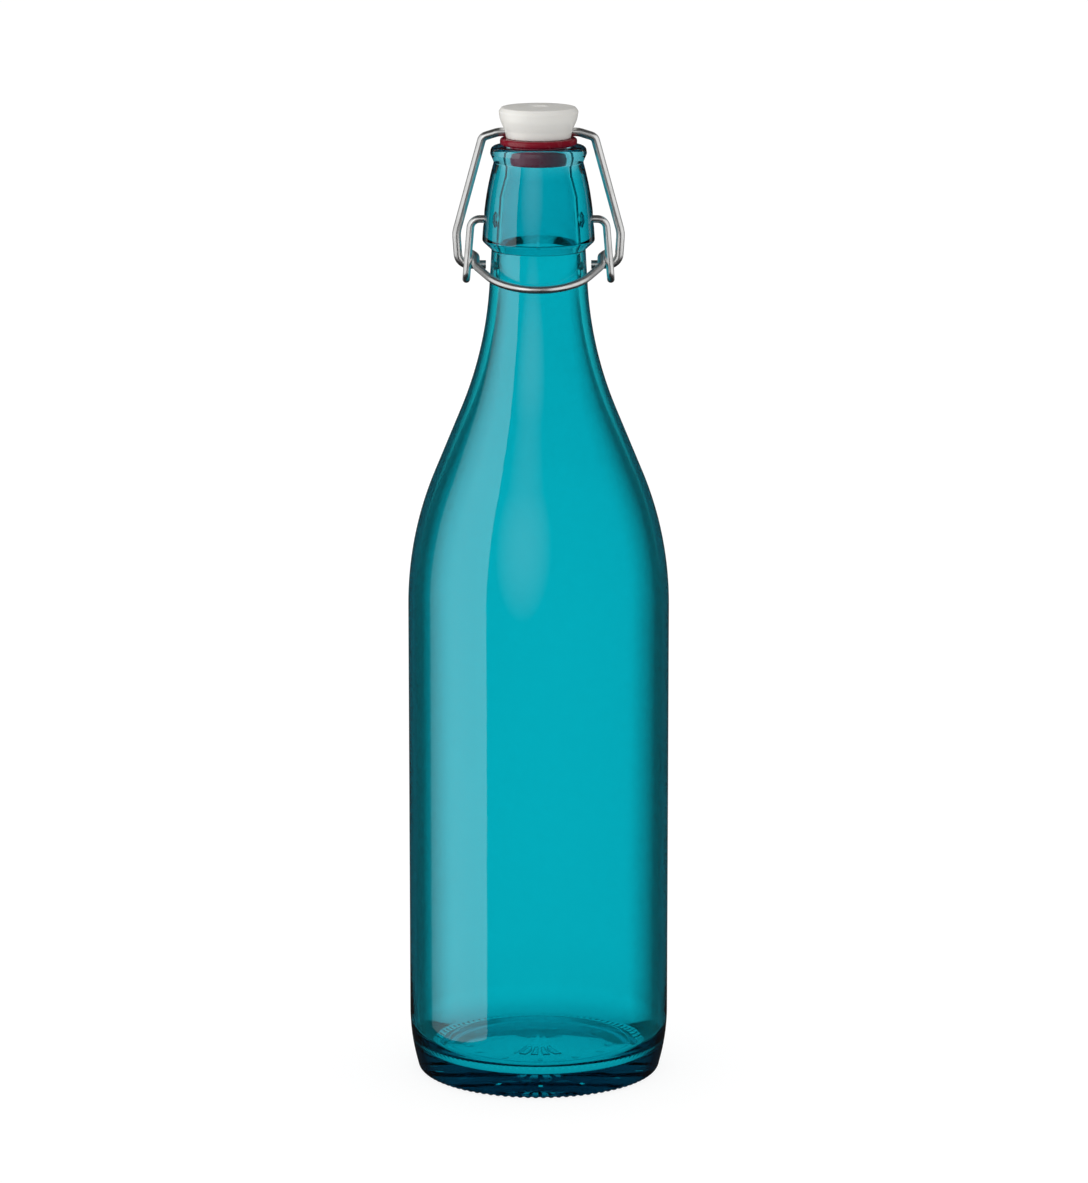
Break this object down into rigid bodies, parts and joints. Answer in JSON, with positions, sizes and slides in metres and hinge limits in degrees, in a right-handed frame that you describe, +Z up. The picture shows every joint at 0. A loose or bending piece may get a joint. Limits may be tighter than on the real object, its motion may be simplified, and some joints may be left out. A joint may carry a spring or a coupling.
{
  "type": "swing top bottle",
  "caption": "Tall glass bottle with a long shoulder, a thick collar and a wire swing top that clamps a gasketed stopper on the mouth.",
  "frame": {"origin": "centre of the circle that the bottle stands on", "axes": "+Z up the bottle's axis; -Y is the front, where the lever's loop is pushed down; the pivot axes run along X"},
  "size_m": [0.085, 0.085, 0.3191],
  "materials": {
    "bottle_glass": "clear teal soda glass, fire polished",
    "wire": "bright drawn stainless wire",
    "stopper_plastic": "white moulded plastic, satin",
    "gasket_rubber": "red moulded rubber"
  },
  "bodies": {
    "bottle": {"glass_bottle": "bottle_glass"},
    "lever": {"lever_wire": "wire"},
    "bail": {"bail_wire": "wire"},
    "stopper": {"stopper_head": "stopper_plastic", "gasket": "gasket_rubber"}
  },
  "joints": [
    {"name": "lever_swing", "type": "hinge", "parent": "bottle", "child": "lever", "pos_m": [0, 0, 0.2827], "axis": [-1, 0, 0], "range_deg": [0, 95]},
    {"name": "bail_swing", "type": "hinge", "parent": "lever", "child": "bail", "pos_m": [0, 0.00295, 0.2675], "axis": [-1, 0, 0], "range_deg": [-64, 0]},
    {"name": "stopper_turn", "type": "hinge", "parent": "bail", "child": "stopper", "pos_m": [0, 0, 0.3108], "axis": [-1, 0, 0], "range_deg": [-32, 0]}
  ],
  "couplings": [
    {"joint": "bail_swing", "follows": "lever_swing", "ratio": -0.665},
    {"joint": "stopper_turn", "follows": "lever_swing", "ratio": -0.335}
  ]
}
